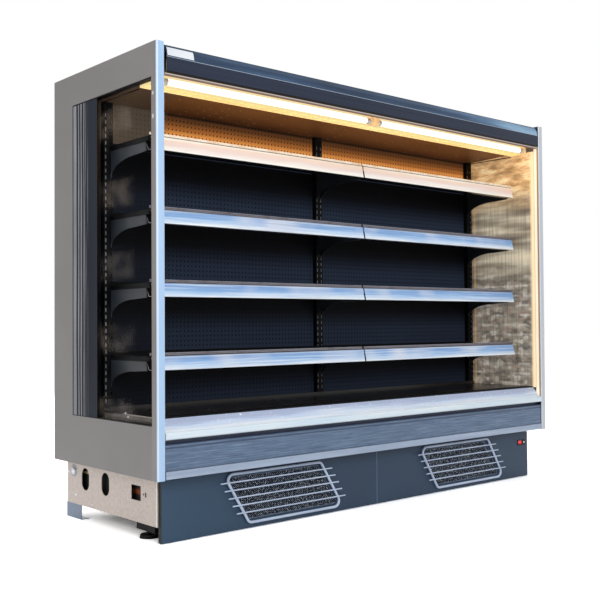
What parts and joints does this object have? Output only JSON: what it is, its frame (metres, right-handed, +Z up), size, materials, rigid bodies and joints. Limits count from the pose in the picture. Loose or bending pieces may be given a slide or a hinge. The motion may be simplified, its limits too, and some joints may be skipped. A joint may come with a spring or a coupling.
{
  "type": "open multideck display fridge",
  "caption": "Open-fronted refrigerated display cabinet with hook-in shelves in two bays, glazed end walls, lit canopy and a base with pull-off kick panels.",
  "frame": {"origin": "middle of the footprint, on the floor", "axes": "+X along the front to the right seen from the front, +Y from the front to the back, +Z up; the open front faces -Y"},
  "size_m": [2.58, 0.862, 1.98],
  "materials": {
    "galvanised_steel": "galvanised sheet, dull spangle",
    "black_plastic": "moulded, matt",
    "insulated_panel": "coated sheet over foam",
    "grey_paint": "warm grey paint, satin",
    "window_glass": "clear double pane",
    "anodised_aluminium": "anodised, satin",
    "dark_paint": "blue-grey paint, satin",
    "white_reflector": "white paint, gloss",
    "lamp_tube": "frosted tube, warm white",
    "air_plastic": "moulded honeycomb",
    "interior_paint": "dark interior paint, satin",
    "label_strip": "clear and bright extruded strip",
    "pale_bumper": "pale extruded bumper",
    "guard_paint": "light grey-blue powder coat",
    "red_switch": "moulded, gloss",
    "finned_aluminium": "finned",
    "compressor_paint": "black enamel",
    "box_plastic": "moulded box"
  },
  "bodies": {
    "cabinet": {"base_sides": "galvanised_steel", "base_frame": "galvanised_steel", "condensing_tray": "galvanised_steel", "deck_bearers": "galvanised_steel", "evaporator_fan_plate": "galvanised_steel", "rear_skids": "guard_paint", "levelling_feet": "black_plastic", "insulated_tub": "insulated_panel", "back_wall": "insulated_panel", "roof_panel": "insulated_panel", "end_wall_left": "grey_paint", "end_wall_right": "grey_paint", "end_glass": "window_glass", "end_posts": "anodised_aluminium", "lower_trim": "anodised_aluminium", "canopy_fascia": "dark_paint", "front_panel": "dark_paint", "lamp_reflector": "white_reflector", "lamp_holders": "white_reflector", "air_honeycomb": "air_plastic", "ceiling_panels": "interior_paint", "back_panels": "interior_paint", "shelf_uprights": "interior_paint", "shelf_brackets": "interior_paint", "return_grille": "interior_paint", "deck_ticket_strip": "label_strip", "handrail": "pale_bumper", "evaporator_coil": "finned_aluminium", "condenser_coil": "finned_aluminium", "compressor": "compressor_paint", "electrical_box": "box_plastic"},
    "display_shelf_1_left": {"shelf_1_left": "interior_paint", "ticket_strip_1_left": "label_strip"},
    "display_shelf_1_right": {"shelf_1_right": "interior_paint", "ticket_strip_1_right": "label_strip"},
    "display_shelf_2_left": {"shelf_2_left": "interior_paint", "ticket_strip_2_left": "label_strip"},
    "display_shelf_2_right": {"shelf_2_right": "interior_paint", "ticket_strip_2_right": "label_strip"},
    "display_shelf_3_left": {"shelf_3_left": "interior_paint", "ticket_strip_3_left": "label_strip"},
    "display_shelf_3_right": {"shelf_3_right": "interior_paint", "ticket_strip_3_right": "label_strip"},
    "display_shelf_4_left": {"shelf_4_left": "interior_paint", "ticket_strip_4_left": "label_strip"},
    "display_shelf_4_right": {"shelf_4_right": "interior_paint", "ticket_strip_4_right": "label_strip"},
    "deck_left": {"deck_tray_left": "interior_paint"},
    "deck_right": {"deck_tray_right": "interior_paint"},
    "kick_left": {"kick_panel_left": "dark_paint", "grille_guard_left": "guard_paint"},
    "kick_right": {"kick_panel_right": "dark_paint", "grille_guard_right": "guard_paint", "switch_bezel": "black_plastic"},
    "lamp_left": {"lamp_tube_left": "lamp_tube"},
    "lamp_right": {"lamp_tube_right": "lamp_tube"},
    "evaporator_rotor_left": {"evaporator_fan_left": "black_plastic"},
    "evaporator_rotor_right": {"evaporator_fan_right": "black_plastic"},
    "condenser_rotor": {"condenser_fan": "black_plastic"},
    "rocker": {"rocker_switch": "red_switch"}
  },
  "joints": [
    {"name": "shelf_1_left_lift", "type": "slide", "parent": "cabinet", "child": "display_shelf_1_left", "axis": [0, 0, 1], "range_m": [0, 0.05]},
    {"name": "shelf_1_right_lift", "type": "slide", "parent": "cabinet", "child": "display_shelf_1_right", "axis": [0, 0, 1], "range_m": [0, 0.05]},
    {"name": "shelf_2_left_lift", "type": "slide", "parent": "cabinet", "child": "display_shelf_2_left", "axis": [0, 0, 1], "range_m": [0, 0.05]},
    {"name": "shelf_2_right_lift", "type": "slide", "parent": "cabinet", "child": "display_shelf_2_right", "axis": [0, 0, 1], "range_m": [0, 0.05]},
    {"name": "shelf_3_left_lift", "type": "slide", "parent": "cabinet", "child": "display_shelf_3_left", "axis": [0, 0, 1], "range_m": [0, 0.05]},
    {"name": "shelf_3_right_lift", "type": "slide", "parent": "cabinet", "child": "display_shelf_3_right", "axis": [0, 0, 1], "range_m": [0, 0.05]},
    {"name": "shelf_4_left_lift", "type": "slide", "parent": "cabinet", "child": "display_shelf_4_left", "axis": [0, 0, 1], "range_m": [0, 0.05]},
    {"name": "shelf_4_right_lift", "type": "slide", "parent": "cabinet", "child": "display_shelf_4_right", "axis": [0, 0, 1], "range_m": [0, 0.05]},
    {"name": "deck_left_lift", "type": "slide", "parent": "cabinet", "child": "deck_left", "axis": [0, 0, 1], "range_m": [0, 0.06]},
    {"name": "deck_right_lift", "type": "slide", "parent": "cabinet", "child": "deck_right", "axis": [0, 0, 1], "range_m": [0, 0.06]},
    {"name": "kick_left_pull", "type": "slide", "parent": "cabinet", "child": "kick_left", "axis": [0, -1, 0], "range_m": [0, 0.12]},
    {"name": "kick_right_pull", "type": "slide", "parent": "cabinet", "child": "kick_right", "axis": [0, -1, 0], "range_m": [0, 0.12]},
    {"name": "lamp_left_turn", "type": "hinge", "parent": "cabinet", "child": "lamp_left", "pos_m": [-0.617, -0.345, 1.848], "axis": [1, 0, 0], "range_deg": [0, 90]},
    {"name": "lamp_right_turn", "type": "hinge", "parent": "cabinet", "child": "lamp_right", "pos_m": [0.617, -0.345, 1.848], "axis": [1, 0, 0], "range_deg": [0, 90]},
    {"name": "evaporator_fan_left_spin", "type": "hinge", "parent": "cabinet", "child": "evaporator_rotor_left", "pos_m": [-0.76, -0.128, 0.417], "axis": [0, 1, 0], "continuous": true},
    {"name": "evaporator_fan_right_spin", "type": "hinge", "parent": "cabinet", "child": "evaporator_rotor_right", "pos_m": [0.76, -0.128, 0.417], "axis": [0, 1, 0], "continuous": true},
    {"name": "condenser_fan_spin", "type": "hinge", "parent": "cabinet", "child": "condenser_rotor", "pos_m": [-0.585, -0.136, 0.1465], "axis": [0, 1, 0], "continuous": true},
    {"name": "switch_rock", "type": "hinge", "parent": "kick_right", "child": "rocker", "pos_m": [1.148, -0.347, 0.193], "axis": [1, 0, 0], "range_deg": [0, 16]}
  ]
}
